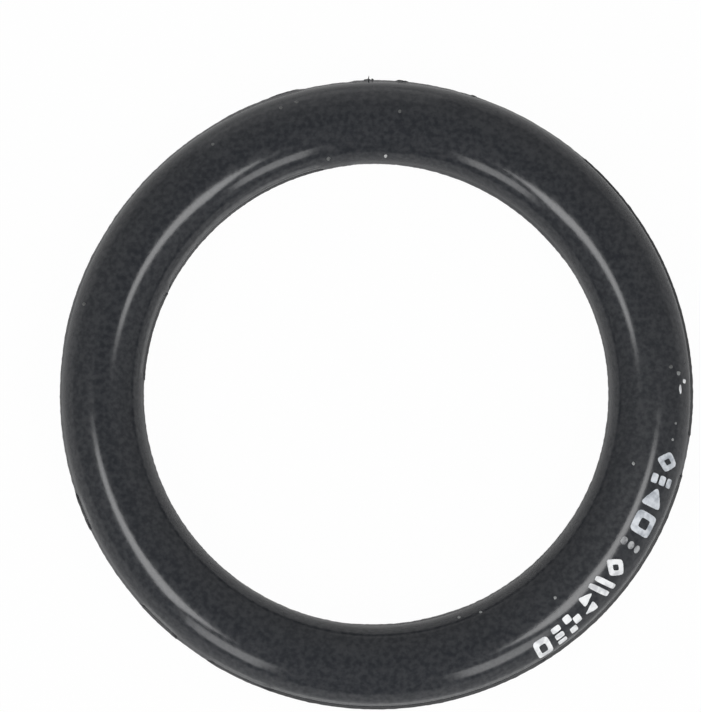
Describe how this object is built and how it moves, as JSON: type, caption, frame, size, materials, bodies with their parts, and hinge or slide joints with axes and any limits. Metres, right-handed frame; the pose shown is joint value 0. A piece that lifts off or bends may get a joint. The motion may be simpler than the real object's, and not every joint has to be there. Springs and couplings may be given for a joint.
{
  "type": "o-ring seal",
  "caption": "Moulded black rubber ring of round section that seals the joint between a spigot and its housing in an engine.",
  "frame": {"origin": "centre of the ring, on its axis and in the plane of its parting line", "axes": "+Z along the ring's axis, away from the surface that it lies on, with the printed face up"},
  "size_m": [0.0402, 0.0404, 0.0052],
  "materials": {
    "rubber": "satin moulded rubber with a faint mottle"
  },
  "bodies": {
    "root": {"o_ring": "rubber"}
  },
  "joints": []
}
